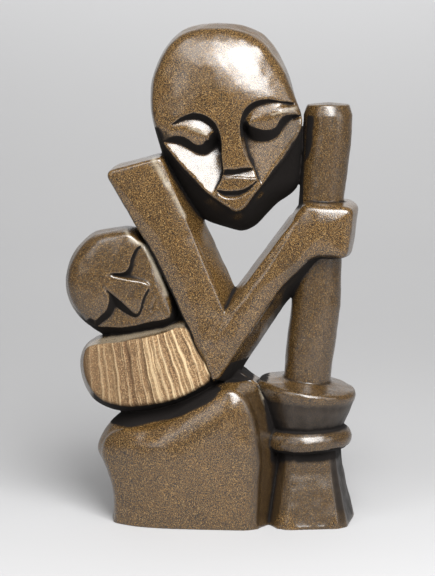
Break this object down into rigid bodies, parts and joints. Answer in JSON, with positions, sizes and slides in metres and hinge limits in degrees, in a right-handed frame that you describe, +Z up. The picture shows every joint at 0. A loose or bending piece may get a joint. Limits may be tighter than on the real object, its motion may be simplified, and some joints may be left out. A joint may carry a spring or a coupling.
{
  "type": "african maternity figure",
  "caption": "Polished stone carving of a mother who pounds grain with pestle and mortar, her child tied to her back, cut right through between the limbs.",
  "frame": {"origin": "on the floor, in the middle of the underside of the figure's box", "axes": "+Z up, -Y towards the front of the figure, +X to the viewer's right"},
  "size_m": [0.1762, 0.068, 0.3],
  "materials": {
    "stone": "waxed and polished brown serpentine with a fine dark and light speckle, dark in the grooves, raw and pale where the wrap is chiselled"
  },
  "bodies": {
    "root": {"mother_and_child": "stone"}
  },
  "joints": []
}
